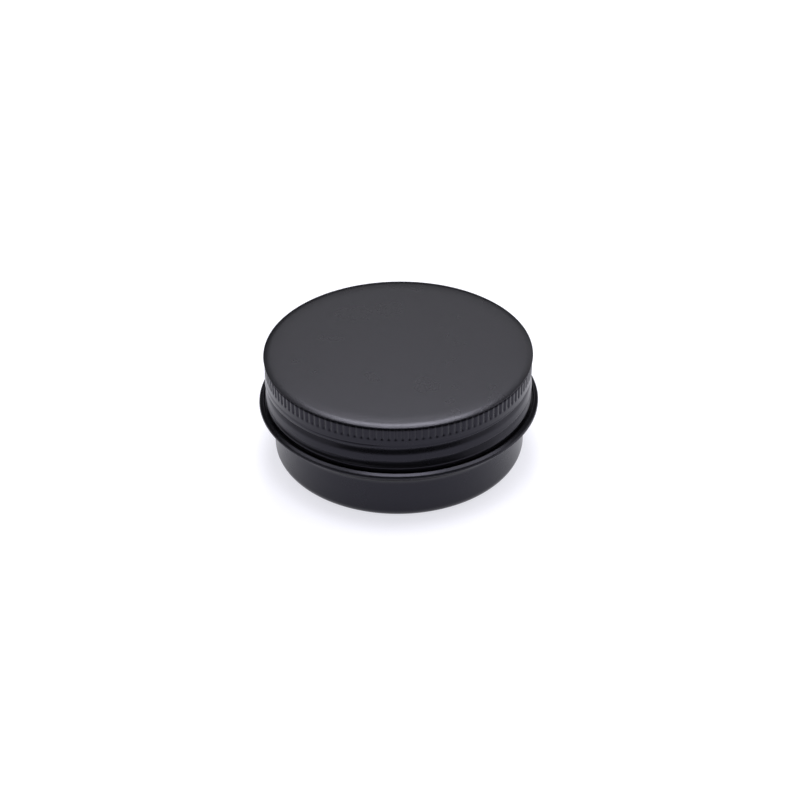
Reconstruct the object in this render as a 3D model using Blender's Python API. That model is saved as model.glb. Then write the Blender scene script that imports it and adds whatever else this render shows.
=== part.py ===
"""Screw-top candle tin: a drawn aluminium can, its screw lid and the foam liner inside the lid.

Lengths below are in millimetres and become metres as each mesh is made.  The origin is the
middle of the underside, +Z runs up through the lid and -Y is the front of the tin.
"""

from math import atan2, cos, hypot, pi, radians, sin, tan

import bmesh
import bpy

MM = 0.001

# Driving dimensions
TIN_DIAMETER = 52.0  # over the bead, the widest place
TIN_HEIGHT = 21.0  # with the lid screwed down
LID_DIAMETER = 49.5  # over the rim of the lid
BODY_DIAMETER = 46.8  # the wall below the bead
SHEET = 0.28  # coated aluminium sheet
GAP = 0.3  # between pieces that touch on the real tin
COLUMNS = 64  # facets round each turned shape
CURVE_STEPS = 4  # facets along a rounded corner

# Can
BODY_R = BODY_DIAMETER / 2
CORNER_R = 2.0
PANEL_R = 18.2  # raised panel in the underside
PANEL_RISE = 0.35
PANEL_STEP = 0.8
BEAD_HEIGHT = 10.8  # of the outermost line of the bead
FOLD_OVER = 0.45  # radius of the folded edge above that line
FOLD_UNDER = 0.2  # and below it
CREST_R = 25.25  # highest line of the bead, which slopes down to both sides of it
CREST_HALF = 0.07
CREST_SLOPE = 28  # degrees, on the outer side
LEDGE_R = 25.0  # inner face of the bead, beside the lower edge of the lid
WEB_TOP = 10.95  # the sheet runs in from the bead to the neck at this height
FLARE_SLOPE = 40  # degrees: the wall flares out to the bead at this slope
FLARE_ROUND = 1.86
HOLLOW_R = 24.9  # how far the fold stays open inside
FILLET = 0.14
NECK_R = 23.35
NECK_TOP = 17.5
LIP_NECK_R = 23.0  # the neck draws in below the rolled lip
LIP_ROLL = 0.33
MOUTH_HEIGHT = 19.1
MOUTH_R = LIP_NECK_R - SHEET

# Lid
RIM_R = LID_DIAMETER / 2
RIM_ROUND = 0.3
LID_BASE = WEB_TOP + 0.32
UNDERCUT_R = 24.25
UNDERCUT_HEIGHT = 20.38
KNURL_TOP = 20.0
KNURL_BASE = 17.65
KNURL_COUNT = 128
KNURL_CREST_R = 24.58
KNURL_ROOT_R = 24.36
BAND_R = 24.62
CROWN_INSIDE_R = 23.95
CROWN_ROUND = 0.5
RIDGE_R = 24.7  # outside of the lid between the turns of its thread
HEM_R = 24.62
HEM_INSIDE_R = 24.2
HEM_TOP = 12.05

# Thread, rolled into both walls: right-handed, one start
LEAD = 2.75
GROOVE_EDGE = LID_BASE + 2.36  # top edge of the lid's groove at the front, on its first turn
STEP_IN = 0.15  # share of a turn in which the metal steps in below that edge
SLOPE_OUT = 0.6  # share of a turn by which it has sloped back out
RIDGE_LEAN = 0.62  # share of the depth spread over the whole slope and the ridge under it
LID_GROOVE_DEPTH = 0.67
LID_THREAD = (-0.3, 1.45)  # first and last turn of the groove, counted from the front
NECK_RIB_HEIGHT = 0.68
NECK_THREAD = (-0.4, 0.8)  # first and last turn of the rib
RUN_OUT = 0.25  # turns over which a thread fades away
THREAD_TOP = 17.15
THREAD_BASE = HEM_TOP + 0.1
THREAD_ROWS = 24

# Liner
LINER_R = CROWN_INSIDE_R - GAP
LINER_THICK = 1.0
LINER_EDGE = 0.12
LINER_TOP = TIN_HEIGHT - SHEET - GAP


def clear_scene():
    for thing in list(bpy.data.objects):
        bpy.data.objects.remove(thing, do_unlink=True)


def arc(centre_r, centre_z, radius, start, end):
    """Points along an arc of a profile, with its angles in degrees from straight out."""
    steps = max(2, round(CURVE_STEPS * abs(end - start) / 90))
    angles = [radians(start + (end - start) * i / steps) for i in range(steps + 1)]
    return [(centre_r + radius * cos(a), centre_z + radius * sin(a)) for a in angles]


def rows(radius, start_z, end_z, count):
    """Evenly spaced points up or down a straight wall."""
    return [(radius, start_z + (end_z - start_z) * i / (count - 1)) for i in range(count)]


def smooth_step(low, high, value):
    t = min(1.0, max(0.0, (value - low) / (high - low)))
    return t * t * (3 - 2 * t)


def thread_wave(angle, z):
    """0 along the deepest line of the groove and 1 along the top edge of the groove."""
    below = (angle / (2 * pi) - (z - GROOVE_EDGE) / LEAD) % 1
    if below < STEP_IN:
        return 1 - smooth_step(0, STEP_IN, below)
    lean = (below - STEP_IN) / (1 - STEP_IN)
    return (1 - RIDGE_LEAN) * smooth_step(STEP_IN, SLOPE_OUT, below) + RIDGE_LEAN * lean


def strength(angle, z, middle, thread):
    """How much of a thread is there: it fades in and out at its two ends.

    The middle is the height of the groove or the rib, in turns above the groove's top edge.
    """
    turns = angle / (2 * pi)
    turn = turns + round((z - GROOVE_EDGE) / LEAD - turns - middle)
    first, last = thread
    return smooth_step(first, first + RUN_OUT, turn) * (1 - smooth_step(last - RUN_OUT, last, turn))


def lid_groove(angle, z):
    depth = LID_GROOVE_DEPTH * strength(angle, z, -0.5, LID_THREAD)
    above_hem = smooth_step(HEM_TOP, HEM_TOP + 0.4, z)
    return -depth * (1 - thread_wave(angle, z)) * above_hem


def neck_rib(angle, z):
    return NECK_RIB_HEIGHT * strength(angle, z, 0.5 - STEP_IN, NECK_THREAD) * thread_wave(angle, z)


def turned(profile):
    """Spin a profile of (radius, height) points that starts and ends on the Z axis."""
    bm = bmesh.new()
    points = [bm.verts.new((r * MM, 0, z * MM)) for r, z in profile]
    edges = [bm.edges.new(pair) for pair in zip(points, points[1:])]
    bmesh.ops.spin(
        bm, geom=points + edges, axis=(0, 0, 1), angle=2 * pi, steps=COLUMNS, use_merge=True
    )
    bmesh.ops.remove_doubles(bm, verts=bm.verts, dist=0.002 * MM)
    return bm


def front_angle(vert):
    """Angle about Z from the front, positive towards +X."""
    return atan2(vert.co.x, -vert.co.y)


def push(vert, change):
    """Move a vertex straight out from the axis by a number of millimetres."""
    radius = hypot(vert.co.x, vert.co.y)
    factor = 1 + change * MM / radius
    vert.co.x *= factor
    vert.co.y *= factor


def roll_thread(bm, shape):
    """Press a thread into every wall between the thread's two heights."""
    for vert in bm.verts:
        z = vert.co.z / MM
        if THREAD_BASE - 0.01 < z < THREAD_TOP + 0.01:
            push(vert, shape(front_angle(vert), z))


def knurl(bm):
    """Cut the grip into the band round the lid: each facet column becomes two crests and roots."""
    mean_r = (KNURL_CREST_R + KNURL_ROOT_R) / 2
    cuts = 2 * KNURL_COUNT // COLUMNS - 1

    def on_band(vert):
        z, r = vert.co.z / MM, hypot(vert.co.x, vert.co.y) / MM
        return KNURL_BASE - 0.01 < z < KNURL_TOP + 0.01 and r > mean_r - 0.05

    level = [
        edge
        for edge in bm.edges
        if all(map(on_band, edge.verts)) and abs(edge.verts[0].co.z - edge.verts[1].co.z) < 0.01 * MM
    ]
    bmesh.ops.subdivide_edges(bm, edges=level, cuts=cuts, use_grid_fill=True)
    for vert in filter(on_band, bm.verts):
        column = round((front_angle(vert) / (2 * pi)) * 2 * KNURL_COUNT)
        wanted = KNURL_CREST_R if column % 2 else KNURL_ROOT_R
        push(vert, wanted - hypot(vert.co.x, vert.co.y) / MM)


def flare_base():
    """Height at which the wall starts to flare, so that the flare ends on the folded edge."""
    slope = radians(FLARE_SLOPE)
    fold_r = TIN_DIAMETER / 2 - FOLD_UNDER * (1 - sin(slope))
    fold_z = BEAD_HEIGHT - FOLD_UNDER * cos(slope)
    end_r = BODY_R + FLARE_ROUND * (1 - sin(slope))
    return fold_z - tan(slope) * (fold_r - end_r) - FLARE_ROUND * cos(slope)


def can_mesh():
    lip_r = MOUTH_R + LIP_ROLL
    lip_z = MOUTH_HEIGHT - LIP_ROLL
    corner_r = BODY_R - CORNER_R
    foot_r = PANEL_R + PANEL_STEP
    flare_r, flare_z = BODY_R + FLARE_ROUND, flare_base()
    flare_end = 90 + FLARE_SLOPE
    over_r, under_r = TIN_DIAMETER / 2 - FOLD_OVER, TIN_DIAMETER / 2 - FOLD_UNDER
    top_slope = radians(CREST_SLOPE)
    crest_run = over_r + FOLD_OVER * sin(top_slope) - CREST_R - CREST_HALF
    crest_z = BEAD_HEIGHT + FOLD_OVER * cos(top_slope) + crest_run * tan(top_slope)
    outside = [
        (0, PANEL_RISE),
        (PANEL_R, PANEL_RISE),
        (foot_r, 0),
        *arc(corner_r, CORNER_R, CORNER_R, -90, 0),
        *arc(flare_r, flare_z, FLARE_ROUND, 180, flare_end),
        *arc(under_r, BEAD_HEIGHT, FOLD_UNDER, FLARE_SLOPE - 90, 0),
        *arc(over_r, BEAD_HEIGHT, FOLD_OVER, 0, 90 - CREST_SLOPE),
        (CREST_R + CREST_HALF, crest_z),
        (CREST_R - CREST_HALF, crest_z),
        (LEDGE_R + FILLET / 2, crest_z - FILLET / 2),
        (LEDGE_R, crest_z - FILLET),
        (LEDGE_R, WEB_TOP),
        (NECK_R + FILLET, WEB_TOP),
        (NECK_R, WEB_TOP + FILLET),
        *rows(NECK_R, THREAD_BASE, THREAD_TOP, THREAD_ROWS),
        (NECK_R, NECK_TOP),
        (LIP_NECK_R, NECK_TOP + 0.4),
        (LIP_NECK_R, lip_z - LIP_ROLL + 0.05),
    ]
    lip = arc(lip_r, lip_z, LIP_ROLL, -45, 180)
    inside = [
        (MOUTH_R, NECK_TOP + 0.3),
        (NECK_R - SHEET, NECK_TOP - 0.1),
        *rows(NECK_R - SHEET, THREAD_TOP, THREAD_BASE, THREAD_ROWS),
        (NECK_R - SHEET, WEB_TOP - SHEET),
        (HOLLOW_R, WEB_TOP - SHEET),
        (HOLLOW_R, WEB_TOP - 2 * SHEET),
        *arc(flare_r, flare_z, FLARE_ROUND + SHEET, flare_end, 180),
        *reversed(arc(corner_r, CORNER_R, CORNER_R - SHEET, -90, 0)),
        (foot_r, SHEET),
        (PANEL_R, PANEL_RISE + SHEET),
        (0, PANEL_RISE + SHEET),
    ]
    bm = turned(outside + lip + inside)
    roll_thread(bm, neck_rib)
    return bm


def lid_mesh():
    """The lid, with heights counted from its own lower edge."""
    hem_round = (HEM_R - HEM_INSIDE_R) / 2
    outside = [
        (0, TIN_HEIGHT),
        *arc(RIM_R - RIM_ROUND, TIN_HEIGHT - RIM_ROUND, RIM_ROUND, 90, -40),
        (UNDERCUT_R, UNDERCUT_HEIGHT),
        *rows((KNURL_CREST_R + KNURL_ROOT_R) / 2, KNURL_TOP, KNURL_BASE, 3),
        (BAND_R, KNURL_BASE - 0.2),
        *rows(RIDGE_R, THREAD_TOP, THREAD_BASE, THREAD_ROWS),
        (HEM_R, HEM_TOP - 0.1),
    ]
    hem = arc(HEM_R - hem_round, LID_BASE + hem_round, hem_round, 0, -180)
    inside = [
        (HEM_INSIDE_R, HEM_TOP - 0.1),
        *rows(RIDGE_R - SHEET, THREAD_BASE, THREAD_TOP, THREAD_ROWS),
        (BAND_R - SHEET, KNURL_BASE - 0.4),
        (CROWN_INSIDE_R, KNURL_BASE),
        *arc(CROWN_INSIDE_R - CROWN_ROUND, TIN_HEIGHT - SHEET - CROWN_ROUND, CROWN_ROUND, 0, 90),
        (0, TIN_HEIGHT - SHEET),
    ]
    bm = turned(outside + hem + inside)
    roll_thread(bm, lid_groove)
    knurl(bm)
    bmesh.ops.translate(bm, verts=bm.verts, vec=(0, 0, -LID_BASE * MM))
    return bm


def liner_mesh():
    """A punched foam disc, with heights counted from its underside."""
    bm = turned(
        [
            (0, LINER_THICK),
            (LINER_R - LINER_EDGE, LINER_THICK),
            (LINER_R, LINER_THICK - LINER_EDGE),
            (LINER_R, LINER_EDGE),
            (LINER_R - LINER_EDGE, 0),
            (0, 0),
        ]
    )
    return bm


def material(name, colour, roughness, metallic):
    made = bpy.data.materials.new(name)
    made.use_nodes = True
    shader = made.node_tree.nodes["Principled BSDF"]
    shader.inputs["Base Color"].default_value = (*colour, 1)
    shader.inputs["Roughness"].default_value = roughness
    shader.inputs["Metallic"].default_value = metallic
    return made


def add_piece(name, bm, finish, height, parent=None):
    """Put a mesh in the scene as one named piece, its origin on the Z axis at this height."""
    bmesh.ops.recalc_face_normals(bm, faces=bm.faces)
    mesh = bpy.data.meshes.new(name)
    bm.to_mesh(mesh)
    bm.free()
    mesh.shade_smooth()
    mesh.set_sharp_from_angle(angle=radians(40))
    mesh.materials.append(finish)
    piece = bpy.data.objects.new(name, mesh)
    piece.parent = parent
    piece.location = (0, 0, height * MM)
    bpy.context.scene.collection.objects.link(piece)
    return piece


def add_lid_travel():
    """The empty that carries the lid and its liner up the screw axis."""
    travel = bpy.data.objects.new("lid_travel", None)
    travel.empty_display_size = 10 * MM
    travel.location = (0, 0, LID_BASE * MM)
    bpy.context.scene.collection.objects.link(travel)
    return travel


def main():
    clear_scene()
    can_coating = material("can_coating", (0.036, 0.035, 0.04), 0.5, 0.1)
    lid_coating = material("lid_coating", (0.036, 0.035, 0.04), 0.5, 0.1)
    liner_foam = material("liner_foam", (0.82, 0.82, 0.8), 0.85, 0.0)
    add_piece("can", can_mesh(), can_coating, 0)
    travel = add_lid_travel()
    add_piece("lid", lid_mesh(), lid_coating, 0, travel)
    add_piece("liner", liner_mesh(), liner_foam, LINER_TOP - LINER_THICK - LID_BASE, travel)


main()
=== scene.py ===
from math import ceil, cos, pi, radians, sin, tan

import bpy
import numpy as np
from mathutils import Matrix, Vector


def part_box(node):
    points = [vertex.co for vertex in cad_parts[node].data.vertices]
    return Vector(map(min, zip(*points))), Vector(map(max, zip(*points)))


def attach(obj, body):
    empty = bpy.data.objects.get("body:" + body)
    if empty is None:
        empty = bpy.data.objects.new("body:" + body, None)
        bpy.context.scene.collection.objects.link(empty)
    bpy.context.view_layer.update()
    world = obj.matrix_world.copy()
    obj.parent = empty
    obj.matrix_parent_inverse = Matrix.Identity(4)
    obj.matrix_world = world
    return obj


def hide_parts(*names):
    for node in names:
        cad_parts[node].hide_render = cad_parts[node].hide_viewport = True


# Screw-top tin in matte black coated aluminium: the can, its screw lid and the lid's foam liner.
# Shapes are written in millimetres and turned about Z, with -Y as the front.
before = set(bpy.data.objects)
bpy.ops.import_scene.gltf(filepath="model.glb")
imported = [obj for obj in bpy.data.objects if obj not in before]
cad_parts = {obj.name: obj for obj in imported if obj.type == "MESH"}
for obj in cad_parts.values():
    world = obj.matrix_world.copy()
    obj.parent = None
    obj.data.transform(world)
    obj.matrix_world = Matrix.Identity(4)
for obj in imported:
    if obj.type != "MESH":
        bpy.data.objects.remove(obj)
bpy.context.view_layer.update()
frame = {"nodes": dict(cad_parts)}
mm = 0.001
canHigh = Vector(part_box("can")[1]) / mm
lidLow, lidHigh = [Vector(corner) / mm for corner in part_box("lid")]
linerLow, linerHigh = [Vector(corner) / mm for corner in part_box("liner")]
print("frame loaded:", ", ".join(frame["nodes"]))


def smoothStep(low, high, value):
    t = np.clip((value - low) / (high - low), 0, 1)
    return t * t * (3 - 2 * t)


def arc(r, z, radius, start, end, step=9):
    # round corner of a profile, angles in degrees from straight out
    count = max(2, ceil(abs(end - start) / step))
    angles = [radians(start + (end - start) * i / count) for i in range(count + 1)]
    return [(r + radius * cos(a), z + radius * sin(a)) for a in angles]


def line(startR, startZ, endR, endZ, step):
    # straight stretch of a profile, both ends left to its neighbours
    length = ((endR - startR) ** 2 + (endZ - startZ) ** 2) ** 0.5
    count = max(2, ceil(length / step))
    parts = [i / count for i in range(1, count)]
    return [(startR + (endR - startR) * t, startZ + (endZ - startZ) * t) for t in parts]


def turn(name, profile, columns, press=None):
    # spin a profile that starts and ends on the axis, and comes down its outside so that faces look out
    # press(angle, z, r) says how far each point moves outwards
    radius, height = np.array(profile).T
    angle = 2 * pi * np.arange(columns) / columns
    rings = len(radius) - 2
    r = np.repeat(radius[1:-1, None], columns, axis=1)
    z = np.repeat(height[1:-1, None], columns, axis=1)
    a = np.repeat(angle[None, :], rings, axis=0)
    if press:
        r = r + press((a + pi) % (2 * pi) - pi, z, r)
    points = np.stack([r * np.sin(a), -r * np.cos(a), z], axis=-1).reshape(-1, 3)
    ends = [(0, 0, height[0]), (0, 0, height[-1])]
    index = np.arange(rings * columns).reshape(rings, columns)
    beside = np.roll(index, -1, axis=1)
    quads = np.stack([index[:-1], index[1:], beside[1:], beside[:-1]], axis=-1).reshape(-1, 4)
    first, last = rings * columns, rings * columns + 1
    fans = [(first, i, j) for i, j in zip(index[0], beside[0])]
    fans += [(last, j, i) for i, j in zip(index[-1], beside[-1])]
    mesh = bpy.data.meshes.new(name)
    mesh.from_pydata((np.vstack([points, ends]) * mm).tolist(), [], quads.tolist() + fans)
    mesh.update()
    mesh.shade_smooth()
    made = bpy.data.objects.new(name, mesh)
    bpy.context.scene.collection.objects.link(made)
    print(name, "turned:", len(mesh.polygons), "faces")
    return made


# thread shared by the lid and the neck: right-handed, one start
screwThread = {
    "lead": 2.75,
    "grooveUp": 2.36,  # edge of the groove above the lid's lower edge, at the front on its first turn
    "stepIn": 0.13,  # share of the lead in which the metal steps in below that edge
    "slopeOut": 0.6,  # share of the lead by which most of the slope back out is done
    "ridgeLean": 0.62,  # share of the depth that comes back evenly, all the way down to the next edge
    "lidTurns": (-0.3, 1.45),  # where it starts and ends, in turns from the front
    "neckTurns": (-0.4, 0.8),
    "runOut": 0.25,  # turns over which an end fades out
    "lidDepth": 0.67,
    "neckHeight": 0.68,
}
grooveZ = lidLow.z + screwThread["grooveUp"]


def threadWave(angle, z):
    # 1 at the groove's sharp edge, 0 at its deepest line and 1 again at the next edge below
    s = screwThread
    below = (angle / (2 * pi) - (z - grooveZ) / s["lead"]) % 1
    slope = (1 - s["ridgeLean"]) * smoothStep(s["stepIn"], s["slopeOut"], below)
    slope = slope + s["ridgeLean"] * np.clip((below - s["stepIn"]) / (1 - s["stepIn"]), 0, 1)
    return np.where(below < s["stepIn"], 1 - smoothStep(0, s["stepIn"], below), slope)


def threadStrength(angle, z, middle, turns):
    # 1 along the thread and 0 past its ends; middle is its height in leads above the groove's edge
    around = angle / (2 * pi)
    turnHere = around + np.round((z - grooveZ) / screwThread["lead"] - around - middle)
    fade = screwThread["runOut"]
    fadeOut = 1 - smoothStep(turns[1] - fade, turns[1], turnHere)
    return smoothStep(turns[0], turns[0] + fade, turnHere) * fadeOut


# matte black coating, the same on both metal pieces
coating = {
    "colour": (0.0032, 0.0031, 0.0038),
    "colourPale": (0.0052, 0.0050, 0.0062),
    "specular": 0.31,
    "sheenColour": (0.80, 0.785, 0.99),
    "roughness": (0.27, 0.29),
    "grainSize": 0.22,  # mm
    "grainDepth": 0.008,  # mm
    "mottleSize": 6.0,  # mm
    "noiseDetail": 3,
    "noiseSpan": (0.3, 0.7),  # the part of the noise that the colours and the roughness spread over
}


def newMaterial(name):
    made = bpy.data.materials.new(name)
    made.use_nodes = True
    return made, made.node_tree.nodes["Principled BSDF"]


def noiseNode(nodes, links, where, size, detail):
    noise = nodes.new("ShaderNodeTexNoise")
    noise.inputs["Scale"].default_value = 1 / (size * mm)
    noise.inputs["Detail"].default_value = detail
    links.new(where, noise.inputs["Vector"])
    return noise


def rampNode(nodes, links, factor, stops):
    ramp = nodes.new("ShaderNodeValToRGB")
    ramp.color_ramp.elements[0].position, ramp.color_ramp.elements[0].color = stops[0]
    ramp.color_ramp.elements[1].position, ramp.color_ramp.elements[1].color = stops[1]
    links.new(factor, ramp.inputs["Fac"])
    return ramp


def rangeNode(nodes, links, value, old, new):
    spread = nodes.new("ShaderNodeMapRange")
    spread.inputs["From Min"].default_value, spread.inputs["From Max"].default_value = old
    spread.inputs["To Min"].default_value, spread.inputs["To Max"].default_value = new
    links.new(value, spread.inputs["Value"])
    return spread


def matteBlack(name, look):
    made, shader = newMaterial(name)
    nodes, links = made.node_tree.nodes, made.node_tree.links
    place = nodes.new("ShaderNodeTexCoord").outputs["Object"]
    grain = noiseNode(nodes, links, place, look["grainSize"], look["noiseDetail"])
    mottle = noiseNode(nodes, links, place, look["mottleSize"], look["noiseDetail"])
    dark, pale = look["noiseSpan"]
    colours = [(dark, (*look["colour"], 1)), (pale, (*look["colourPale"], 1))]
    tone = rampNode(nodes, links, grain.outputs["Fac"], colours)
    links.new(tone.outputs["Color"], shader.inputs["Base Color"])
    sheen = rangeNode(nodes, links, mottle.outputs["Fac"], look["noiseSpan"], look["roughness"])
    links.new(sheen.outputs["Result"], shader.inputs["Roughness"])
    shader.inputs["Specular IOR Level"].default_value = look["specular"]
    shader.inputs["Specular Tint"].default_value = (*look["sheenColour"], 1)
    bump = nodes.new("ShaderNodeBump")
    bump.inputs["Strength"].default_value = 1.0
    bump.inputs["Distance"].default_value = look["grainDepth"] * mm
    links.new(grain.outputs["Fac"], bump.inputs["Height"])
    links.new(bump.outputs["Normal"], shader.inputs["Normal"])
    return made


# the can, one closed sheet from the middle of its underside over the lip to the middle inside
canShape = {
    "columns": 320,
    "sheet": 0.28,
    "bodyR": canHigh.x - 2.6,
    "cornerR": 2.0,
    "panelR": 18.2,
    "panelRise": 0.35,
    "footR": 19.0,  # inner edge of the ring that it stands on
    "smallRound": 0.2,  # bends at the panel, the foot and the neck
    "foldZ": 10.8,  # height of the bead's outermost line
    "foldOver": 0.45,  # radius of its folded edge above that line
    "foldUnder": 0.2,  # and below it
    "crestR": 25.25,  # highest line of the bead
    "crestRound": 0.15,
    "crestSlopes": (28, 25),  # degrees, down to its outer edge and down towards the lid
    "ledgeR": 25.0,  # inner face of the bead, beside the lid
    "ledgeRound": 0.1,
    "webTop": 10.95,  # the sheet between the bead and the neck
    "webRound": 0.08,
    "hollowRound": 0.13,  # bend inside the bead
    "flareSlope": 40,  # degrees
    "flareRound": 1.86,
    "neckR": 23.35,
    "threadUp": 0.6,  # the thread starts this far above the lid's lower edge
    "neckTop": 17.5,
    "shoulder": (0.08, 0.55),  # above the thread, where the neck narrows to the lip
    "lipNeckR": 23.0,
    "lipRoll": 0.33,
}


def neckRib(angle, z, r):
    shape = canShape
    onNeck = (z > lidLow.z + shape["threadUp"]) & (z < shape["neckTop"])
    ribMiddle = 0.5 - screwThread["stepIn"]  # half way between two of the deepest lines
    strength = threadStrength(angle, z, ribMiddle, screwThread["neckTurns"])
    return np.where(onNeck, screwThread["neckHeight"] * threadWave(angle, z) * strength, 0)


def makeCan():
    s = canShape
    sheet, bodyR, cornerR = s["sheet"], s["bodyR"], s["cornerR"]
    neckR, webTop, ledgeR, small = s["neckR"], s["webTop"], s["ledgeR"], s["smallRound"]
    panelR, panelZ, footR = s["panelR"], s["panelRise"], s["footR"]
    innerR, neckInR, lipInR = bodyR - sheet, neckR - sheet, s["lipNeckR"] - sheet
    lipR, lipZ = lipInR + s["lipRoll"], canHigh.z - s["lipRoll"]
    threadLow, threadTop = lidLow.z + s["threadUp"], s["neckTop"] - 0.1
    shoulderLow, shoulderHigh = [threadTop + up for up in s["shoulder"]]
    # the wall flares out and meets the folded edge of the bead without a kink
    slope, flareRound = radians(s["flareSlope"]), s["flareRound"]
    over, under, foldZ = s["foldOver"], s["foldUnder"], s["foldZ"]
    overR, underR = canHigh.x - over, canHigh.x - under
    meetR, meetZ = underR + under * sin(slope), foldZ - under * cos(slope)
    flareR = bodyR + flareRound
    bendR = flareR - flareRound * sin(slope)
    bendZ = meetZ - tan(slope) * (meetR - bendR)
    flareZ = bendZ - flareRound * cos(slope)
    hollowR, hollowZ = ledgeR - 0.2, webTop - sheet - s["hollowRound"]
    # the top of the bead: a slope up from the fold, a rounded crest and a slope down to the lid
    outSlope, inSlope = map(radians, s["crestSlopes"])
    crestR, crestRound = s["crestR"], s["crestRound"]
    leaveR, leaveZ = overR + over * sin(outSlope), foldZ + over * cos(outSlope)
    reachR = crestR + crestRound * sin(outSlope)
    reachZ = leaveZ + (leaveR - reachR) * tan(outSlope)
    crestZ = reachZ - crestRound * cos(outSlope)
    fallR, fallZ = crestR - crestRound * sin(inSlope), crestZ + crestRound * cos(inSlope)
    ledgeRound, webRound = s["ledgeRound"], s["webRound"]
    ledgeZ = fallZ - (fallR - ledgeR - ledgeRound) * tan(inSlope) - ledgeRound
    outside = [
        (0, panelZ), (8, panelZ), (panelR - 0.4, panelZ),
        *arc(panelR - small, panelZ - small, small, 90, 35),
        *arc(footR, small, small, 215, 270), (footR + 0.3, 0), (bodyR - cornerR - 0.3, 0),
        *arc(bodyR - cornerR, cornerR, cornerR, -90, 0, 7.5),
        *line(bodyR, cornerR, bodyR, flareZ, 1.2),
        *arc(flareR, flareZ, flareRound, 180, 90 + s["flareSlope"], 6),
        *line(bendR, bendZ, meetR, meetZ, 0.3),
        *arc(underR, foldZ, under, s["flareSlope"] - 90, 0, 10),
        *arc(overR, foldZ, over, 0, 90 - s["crestSlopes"][0], 7),
        *line(leaveR, leaveZ, reachR, reachZ, 0.12),
        *arc(crestR, crestZ, crestRound, 90 - s["crestSlopes"][0], 90 + s["crestSlopes"][1], 9),
        *line(fallR, fallZ, ledgeR + ledgeRound, ledgeZ + ledgeRound, 0.12),
        *arc(ledgeR + ledgeRound, ledgeZ, ledgeRound, 90 + s["crestSlopes"][1], 180, 15),
        *line(ledgeR, ledgeZ, ledgeR, webTop + webRound, 0.15),
        *arc(ledgeR - webRound, webTop + webRound, webRound, 0, -90, 30),
        *line(ledgeR - webRound, webTop, neckR + small, webTop, 0.4),
        *arc(neckR + small, webTop + small, small, 270, 180, 15),
        *line(neckR, webTop + small, neckR, threadLow, 0.2),
        (neckR, threadLow),
        *line(neckR, threadLow, neckR, threadTop, 0.1),
        (neckR, threadTop),
        *arc(neckR - small, shoulderLow, small, 0, 60, 20),
        *arc(s["lipNeckR"] + small, shoulderHigh, small, 240, 180, 20),
        *line(s["lipNeckR"], shoulderHigh, s["lipNeckR"], lipZ - 0.24, 0.3),
    ]
    lip = arc(lipR, lipZ, s["lipRoll"], -50, 180, 10)
    inside = [
        *line(lipInR, lipZ, lipInR, shoulderHigh - 0.1, 0.4),
        *arc(lipInR + small, shoulderHigh - 0.1, small, 180, 240, 20),
        *arc(neckInR - small, shoulderLow - 0.1, small, 60, 0, 20),
        *line(neckInR, threadTop, neckInR, threadLow, 0.16),
        (neckInR, threadLow),
        *arc(neckR + small, webTop + small, small + sheet, 180, 270, 15),
        *line(neckR + small, webTop - sheet, hollowR, webTop - sheet, 0.4),
        *arc(hollowR, hollowZ, s["hollowRound"], 90, s["flareSlope"] - 90, 20),
        *arc(flareR, flareZ, flareRound + sheet, 90 + s["flareSlope"], 180, 6),
        *line(innerR, flareZ, innerR, cornerR + 0.1, 1.2),
        *arc(bodyR - cornerR, cornerR, cornerR - sheet, 0, -90, 7.5),
        (bodyR - cornerR - 0.3, sheet), (footR + 0.3, sheet),
        *arc(footR, small + sheet, small, 270, 215),
        *arc(panelR - small, panelZ - small + sheet, small, 35, 90),
        (panelR - 0.4, panelZ + sheet), (8, panelZ + sheet), (0, panelZ + sheet),
    ]
    # the other way round, so that it comes down its outside
    return turn("tinCan", (outside + lip + inside)[::-1], s["columns"], neckRib)


# the lid, one closed sheet from the middle of its top over the hem and back up the inside
lidShape = {
    "columns": 768,
    "sheet": 0.28,
    "domeStart": 21.0,  # the top falls away from here to its rim
    "domeDrop": 0.08,
    "domeRows": 7,
    "rimWide": 0.88,  # from here out it falls straight, to the rounded edge
    "rimSlope": 10,
    "rimRound": 0.15,
    "undercutDown": 0.55,
    "undercutDeep": 0.5,
    "undercutHalf": 0.15,
    "bandR": 24.62,
    "knurls": 128,
    "knurlDepth": 0.27,
    "knurlWide": 0.6,  # share of the pitch that the hollow between two bars takes
    "knurlTopDown": 0.78,
    "knurlFade": (2.6, 3.15),  # below the top, where the bars die away
    "capRound": 0.34,
    "capDeep": 0.16,
    "capSoft": (0.12, 0.08),  # above and below the line of the caps
    "toolMarks": [
        {"from": -48, "to": -2, "above": 0.66, "deep": 0.05},  # degrees from the front, and mm
        {"from": 8, "to": 56, "above": 1.0, "deep": 0.03},
    ],
    "markHalf": 0.09,
    "markFade": 0.03,  # turns
    "threadFade": (3.2, 3.7),  # below the top, where the thread starts
    "ridgeFade": (3.9, 4.5),  # below the top, where the band widens to the thread's ridges
    "ridgeR": 24.7,
    "hemR": 24.62,
    "hemInR": 24.2,
    "hemUp": 0.78,
    "hemSoft": (0.4, 1.08),  # above the lower edge, where the hem widens to the ridges
    "hemClear": 0.4,  # the thread fades out over this height above the hem
    "crownInR": linerHigh.x + 0.3,
    "innerStep": (3.2, 3.9),  # below the top, where the inside widens from the crown to the thread
    "sideRows": [(1.35, 0.07), (2.55, 0.4), (4.6, 0.09)],  # how far down, and the spacing above it
    "lowRows": (0.16, 0.15),  # spacing over the thread and over the hem
}


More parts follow.
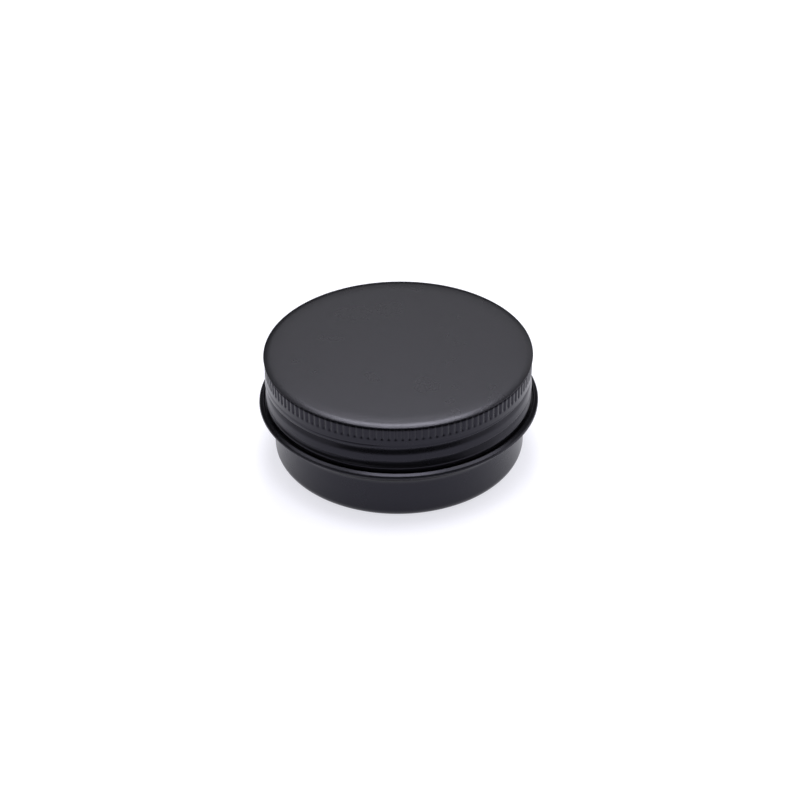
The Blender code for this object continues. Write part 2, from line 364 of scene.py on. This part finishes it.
def runOutLines(angle, z):
    # faint marks that the rolling tool leaves above the thread, rising with it
    around = angle / (2 * pi)
    fade = lidShape["markFade"]
    depth = 0
    for mark in lidShape["toolMarks"]:
        start, end = mark["from"] / 360, mark["to"] / 360
        middle = grooveZ + screwThread["lead"] * (1 + around) + mark["above"]
        along = smoothStep(start, start + fade, around) * (1 - smoothStep(end - fade, end, around))
        depth = depth + mark["deep"] * along * np.exp(-(((z - middle) / lidShape["markHalf"]) ** 2))
    return depth


def rimEdge():
    # middle of the rounded edge of the top, placed so that the slope above it runs into it
    s, slope = lidShape, radians(lidShape["rimSlope"])
    fall = tan(slope) * (s["rimWide"] - s["rimRound"] * (1 - sin(slope)))
    return lidHigh.x - s["rimRound"], lidHigh.z - s["domeDrop"] - fall - s["rimRound"] * cos(slope)


def lidWall(z):
    # outside radius of the lid's side, before its knurls and thread
    s = lidShape
    down = lidHigh.z - z
    undercut = s["undercutDeep"] * np.exp(-(((down - s["undercutDown"]) / s["undercutHalf"]) ** 2))
    noseDown = lidHigh.z - rimEdge()[1]
    nose = (lidHigh.x - s["bandR"]) * (1 - smoothStep(noseDown, s["undercutDown"], down))
    ridge = (s["ridgeR"] - s["bandR"]) * smoothStep(*s["ridgeFade"], down)
    hem = (s["ridgeR"] - s["hemR"]) * (1 - smoothStep(*s["hemSoft"], z - lidLow.z))
    return s["bandR"] + nose - undercut + ridge - hem


def pressLid(angle, z, r):
    # the thread is pressed through both faces of the sheet, the grip into the outer face only
    s = lidShape
    down = lidHigh.z - z
    outer = r > s["crownInR"] + 0.05
    aboveHem = smoothStep(s["hemUp"], s["hemUp"] + s["hemClear"], z - lidLow.z)
    grooveMiddle = -0.5  # half way between an edge and the next one below
    strength = threadStrength(angle, z, grooveMiddle, screwThread["lidTurns"]) * aboveHem
    inThread = smoothStep(*s["threadFade"], down) * (r > s["crownInR"] - 0.3)
    groove = -screwThread["lidDepth"] * (1 - threadWave(angle, z)) * strength * inThread
    # upright bars with rounded tops, which die away into the plain band below them
    pitch = 2 * pi / s["knurls"]
    across = np.abs((angle / pitch) % 1 - 0.5) * 2
    fade = 1 - smoothStep(*s["knurlFade"], down)
    cap = s["knurlTopDown"] + s["capRound"] * (1 - across) ** 2
    belowRim = smoothStep(s["undercutDown"] - 0.15, s["undercutDown"], down)
    dent = s["knurlDepth"] * (1 - smoothStep(0, s["knurlWide"], across)) * fade
    softUp, softDown = s["capSoft"]
    capDent = s["capDeep"] * (1 - smoothStep(cap - softUp, cap + softDown, down))
    grip = (dent + capDent) * belowRim * outer * (down < s["knurlFade"][1])
    return groove - runOutLines(angle, z) * inThread - grip


def makeLid():
    s = lidShape
    top, sheet, rimR = lidHigh.z, s["sheet"], lidHigh.x
    edgeR, edgeZ = rimEdge()
    hemMid, hemRound = (s["hemR"] + s["hemInR"]) / 2, (s["hemR"] - s["hemInR"]) / 2
    slopeR = rimR - s["rimWide"]
    dome = [(r, top - s["domeDrop"] * ((r - s["domeStart"]) / (slopeR - s["domeStart"])) ** 2)
            for r in np.linspace(s["domeStart"], slopeR, s["domeRows"])]
    # rows down the side, close together where the metal turns quickly
    lowest = top - lidLow.z
    threadRow, hemRow = s["lowRows"]
    rows = [*s["sideRows"], (lowest - s["hemUp"] - 0.05, threadRow), (lowest - hemRound - 0.02, hemRow)]
    downs, start = [], top - edgeZ + 0.03
    for end, spacing in rows:
        downs += list(np.arange(start, end - spacing * 0.5, spacing))
        start = end
    side = [(float(lidWall(top - down)), top - down) for down in downs]
    innerTop = top - sheet
    outside = [
        (0, top), (7, top), (14, top),
        *dome,
        *arc(edgeR, edgeZ, s["rimRound"], 90 - s["rimSlope"], 0, 12),
        *side,
    ]
    hem = arc(hemMid, lidLow.z + hemRound, hemRound, 0, -180, 22.5)
    threadInR, hemInR, crownInR = s["ridgeR"] - sheet, s["hemInR"], s["crownInR"]
    hemTop = lidLow.z + s["hemUp"]
    stepHigh, stepLow = [top - down for down in s["innerStep"]]
    inside = [
        *line(hemInR, lidLow.z + hemRound, hemInR, hemTop - 0.15, 0.25),
        (hemInR + 0.03, hemTop - 0.1), (threadInR - 0.03, hemTop - 0.02),
        *line(threadInR, hemTop, threadInR, stepLow, 0.35),
        (threadInR - 0.04, stepLow + 0.2), (crownInR + 0.06, stepHigh - 0.1),
        *line(crownInR, stepHigh, crownInR, innerTop - 0.7, 0.7),
        *arc(crownInR - 0.5, innerTop - 0.6, 0.5, 0, 90, 15),
        (crownInR - 1.2, innerTop - 0.08), (12, innerTop), (0, innerTop),
    ]
    return turn("tinLid", outside + hem + inside, s["columns"], pressLid)


# the foam liner, marked underneath where the lip of the can presses into it
linerShape = {
    "columns": 256,
    "edgeRound": 0.12,
    "lipMarkR": 23.05,
    "lipMarkWide": 0.3,
    "lipMarkDeep": 0.12,
    "lipMarkRows": 22,
}


def makeLiner():
    s = linerShape
    low, high, r, edge = linerLow.z, linerHigh.z, linerHigh.x, s["edgeRound"]
    markStart = s["lipMarkR"] - 2 * s["lipMarkWide"]
    across = np.linspace(r - edge - 0.02, markStart, s["lipMarkRows"])
    dent = s["lipMarkDeep"] * np.exp(-(((across - s["lipMarkR"]) / s["lipMarkWide"]) ** 2))
    profile = [
        (0, high), (10, high), (r - edge - 0.3, high),
        *arc(r - edge, high - edge, edge, 90, 0, 15),
        *line(r, high - edge, r, low + edge, 0.2),
        *arc(r - edge, low + edge, edge, 0, -90, 15),
        *zip(across, low + dent), (markStart - 0.3, low), (16, low), (8, low), (0, low),
    ]
    return turn("foamLiner", profile, s["columns"])


# white closed-cell foam
foam = {
    "colour": (0.74, 0.74, 0.72),
    "colourPale": (0.86, 0.86, 0.84),
    "cellSize": 0.45,  # mm
    "cellDepth": 0.03,  # mm
    "cellShadeSpan": (0.0, 0.8),  # from the middle of a cell to its sunken wall, over which the colour darkens as painted shade
    "roughness": 0.7,
}


def foamWhite(name, look):
    made, shader = newMaterial(name)
    nodes, links = made.node_tree.nodes, made.node_tree.links
    place = nodes.new("ShaderNodeTexCoord").outputs["Object"]
    cells = nodes.new("ShaderNodeTexVoronoi")
    cells.inputs["Scale"].default_value = 1 / (look["cellSize"] * mm)
    links.new(place, cells.inputs["Vector"])
    # pale in the middle of each cell and darker towards its sunken wall: painted shade in the dips
    # between cells
    middle, wall = look["cellShadeSpan"]
    colours = [(middle, (*look["colourPale"], 1)), (wall, (*look["colour"], 1))]
    tone = rampNode(nodes, links, cells.outputs["Distance"], colours)
    links.new(tone.outputs["Color"], shader.inputs["Base Color"])
    shader.inputs["Roughness"].default_value = look["roughness"]
    bump = nodes.new("ShaderNodeBump")
    bump.invert = True
    bump.inputs["Distance"].default_value = look["cellDepth"] * mm
    links.new(cells.outputs["Distance"], bump.inputs["Height"])
    links.new(bump.outputs["Normal"], shader.inputs["Normal"])
    return made


def fit(piece, finish, body, node):
    piece.data.materials.append(finish)
    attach(piece, body)
    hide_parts(node)


can = makeCan()
lid = makeLid()
liner = makeLiner()
fit(can, matteBlack("canCoating", coating), "can", "can")
fit(lid, matteBlack("lidCoating", coating), "lid", "lid")
fit(liner, foamWhite("linerFoam", foam), "liner", "liner")
print("coatings on")


# floor, lamps and camera
studio = {
    "floorSize": 3.0,
    "floorColour": (0.33, 0.33, 0.36),
    "glowColour": (0.955, 0.955, 1.015),
    "floorGlow": 0.72,
    "floorRoughness": 0.8,
    "floorSpecular": 0.2,
    "worldColour": (0.95, 0.97, 1.0),
    "worldStrength": 0.02,
    "tinMiddle": (0, 0, 0.01),
}
# lamps, in metres and watts: the ones above look straight down, the ones beside look at the tin
lampsAbove = [
    {"name": "overMain", "size": (0.2, 0.2), "place": (0, 0, 0.4), "watts": 1.25},
    {"name": "overRight", "size": (0.2, 0.2), "place": (0.22, 0.06, 0.4), "watts": 0.5},
    {"name": "overLeft", "size": (0.2, 0.2), "place": (-0.23, 0.1, 0.4), "watts": 0.35},
    {"name": "overFront", "size": (0.6, 0.2), "place": (0, -0.2, 0.4), "watts": 0.3},
    {"name": "overBack", "size": (0.17, 0.1), "place": (0, 0.29, 0.4), "watts": 1.1},
    {"name": "farMiddle", "size": (0.6, 0.12), "place": (0, 0.48, 0.4), "watts": 0.2},
    {"name": "farBox", "size": (0.5, 0.2), "place": (0.09, 0.65, 0.4), "watts": 0.47},
]
lampsBeside = [
    {"name": "rightPanel", "size": (0.4, 0.3), "place": (0.5, 0.1, 0.17), "watts": 0.7},
    {"name": "leftPanel", "size": (0.4, 0.3), "place": (-0.5, 0.1, 0.17), "watts": 0.1},
    {"name": "leftFront", "size": (0.3, 0.15), "place": (-0.4, -0.15, 0.1), "watts": 0.11},
    {"name": "rightFront", "size": (0.3, 0.15), "place": (0.4, -0.15, 0.1), "watts": 0.1},
]
# camera in front, in degrees and metres; the lens and its sensor in millimetres
view = {
    "elevation": 34.453,
    "distance": 0.33,
    "targetZ": 0.0105,
    "lens": 79.47,
    "sensor": 36,
    "nearest": 0.01,
    "roll": -0.739,
    "shift": (0.00166, -0.00448),
}


def aimed(place, target, roll=0):
    ahead = (Vector(target) - Vector(place)).normalized()
    facing = ahead.to_track_quat("-Z", "Y").to_matrix().to_4x4()
    return Matrix.Translation(place) @ facing @ Matrix.Rotation(roll, 4, "Z")


def makeFloor():
    half = studio["floorSize"] / 2
    corners = [(-half, -half, 0), (half, -half, 0), (half, half, 0), (-half, half, 0)]
    mesh = bpy.data.meshes.new("floor")
    mesh.from_pydata(corners, [], [(0, 1, 2, 3)])
    floor = bpy.data.objects.new("floor", mesh)
    bpy.context.scene.collection.objects.link(floor)
    made, shader = newMaterial("paleFloor")
    shader.inputs["Base Color"].default_value = (*studio["floorColour"], 1)
    shader.inputs["Roughness"].default_value = studio["floorRoughness"]
    shader.inputs["Specular IOR Level"].default_value = studio["floorSpecular"]
    shader.inputs["Emission Color"].default_value = (*studio["glowColour"], 1)
    shader.inputs["Emission Strength"].default_value = studio["floorGlow"]
    mesh.materials.append(made)


def makeLamp(lamp, target):
    data = bpy.data.lights.new(lamp["name"], "AREA")
    data.shape = "RECTANGLE"
    data.size, data.size_y = lamp["size"]
    data.energy = lamp["watts"]
    made = bpy.data.objects.new(lamp["name"], data)
    bpy.context.scene.collection.objects.link(made)
    made.matrix_world = aimed(lamp["place"], target)


def makeAir():
    world = bpy.data.worlds.new("studioAir")
    world.use_nodes = True
    air = world.node_tree.nodes["Background"]
    air.inputs["Color"].default_value = (*studio["worldColour"], 1)
    air.inputs["Strength"].default_value = studio["worldStrength"]
    bpy.context.scene.world = world


def makeCamera():
    up = radians(view["elevation"])
    target = Vector((0, 0, view["targetZ"]))
    place = target + view["distance"] * Vector((0, -cos(up), sin(up)))
    data = bpy.data.cameras.new("mainCamera")
    data.sensor_width = view["sensor"]
    data.lens = view["lens"]
    data.shift_x, data.shift_y = view["shift"]
    data.clip_start = view["nearest"]
    camera = bpy.data.objects.new("mainCamera", data)
    bpy.context.scene.collection.objects.link(camera)
    camera.matrix_world = aimed(place, target, radians(view["roll"]))
    bpy.context.scene.camera = camera


makeFloor()
for lamp in lampsAbove:
    makeLamp(lamp, (*lamp["place"][:2], 0))
for lamp in lampsBeside:
    makeLamp(lamp, studio["tinMiddle"])
makeAir()
makeCamera()
bpy.context.scene.view_settings.view_transform = "Standard"
print("floor, lamps and camera set")
